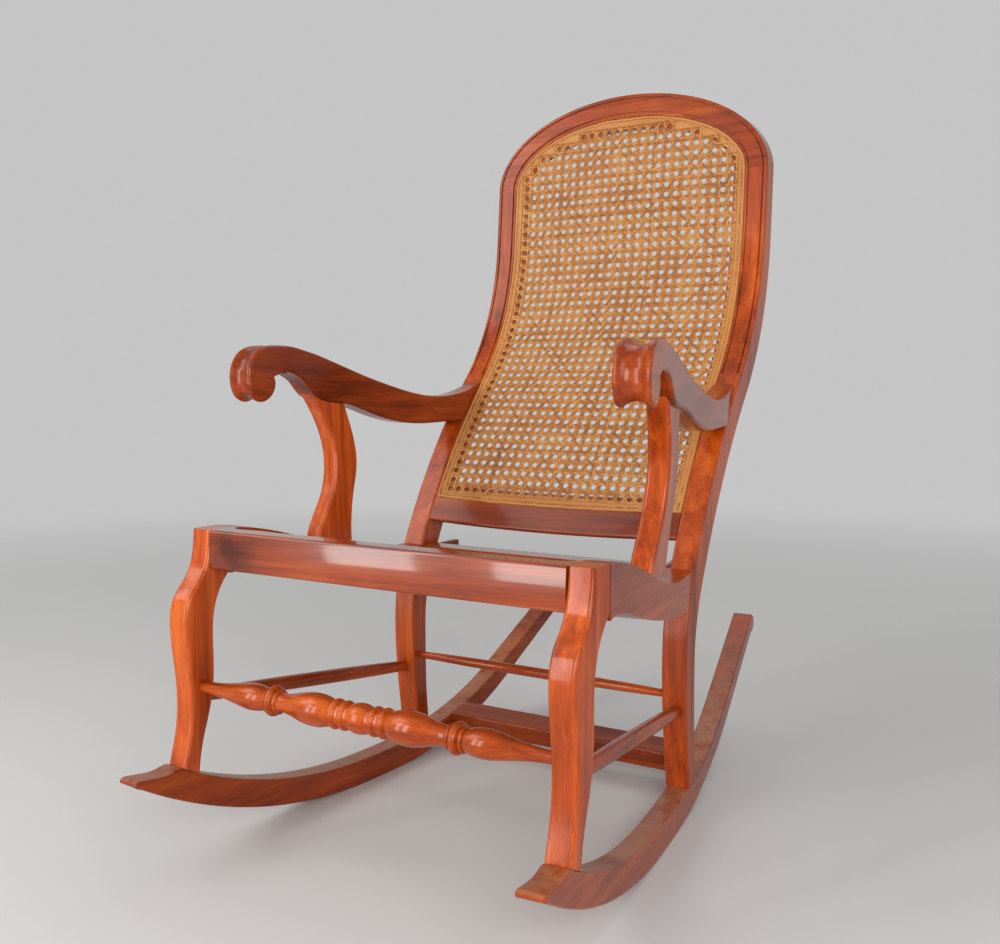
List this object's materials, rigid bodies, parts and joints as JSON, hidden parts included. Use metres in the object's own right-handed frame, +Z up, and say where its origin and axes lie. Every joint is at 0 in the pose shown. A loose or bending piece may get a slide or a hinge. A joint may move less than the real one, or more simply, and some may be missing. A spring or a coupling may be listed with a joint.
{
  "type": "rocking chair",
  "caption": "Wooden rocking armchair with a tall curved cane back, caned seat, scrolled arms, turned front stretcher and two long curved rockers.",
  "frame": {"origin": "on the floor, in the middle of the chair's width and of its length over the rockers", "axes": "+X to the side that is on the right in a view from the front, -Y the way the sitter faces, +Z up"},
  "size_m": [0.6048, 0.9349, 1.0705],
  "materials": {
    "polished_wood": "polished red-brown hardwood with grain",
    "raw_wood": "unpolished hardwood, hidden inside or under the seat",
    "cane": "woven split cane, golden tan",
    "steel": "plain steel wood screw"
  },
  "bodies": {
    "root": {"front_rail": "polished_wood", "rear_rail": "polished_wood", "crest_rail": "polished_wood", "low_back_rail": "polished_wood", "front_stretcher": "polished_wood", "rear_stretcher": "polished_wood", "rocker_bar": "polished_wood", "seat_cane": "cane", "seat_binding": "cane", "back_cane": "cane", "back_binding": "cane", "rocker_right": "polished_wood", "rocker_left": "polished_wood", "front_leg_right": "polished_wood", "front_leg_left": "polished_wood", "rear_post_right": "polished_wood", "rear_post_left": "polished_wood", "side_rail_right": "polished_wood", "side_rail_left": "polished_wood", "arm_right": "polished_wood", "arm_left": "polished_wood", "arm_support_right": "polished_wood", "arm_support_left": "polished_wood", "side_stretcher_right": "polished_wood", "side_stretcher_left": "polished_wood", "front_block_right": "raw_wood", "front_block_left": "raw_wood", "rear_block_right": "raw_wood", "rear_block_left": "raw_wood", "arm_screw_right": "steel", "arm_screw_left": "steel", "arm_plug_right": "polished_wood", "arm_plug_left": "polished_wood", "front_dowel_right": "raw_wood", "front_dowel_left": "raw_wood", "rear_dowel_right": "raw_wood", "rear_dowel_left": "raw_wood"}
  },
  "joints": []
}
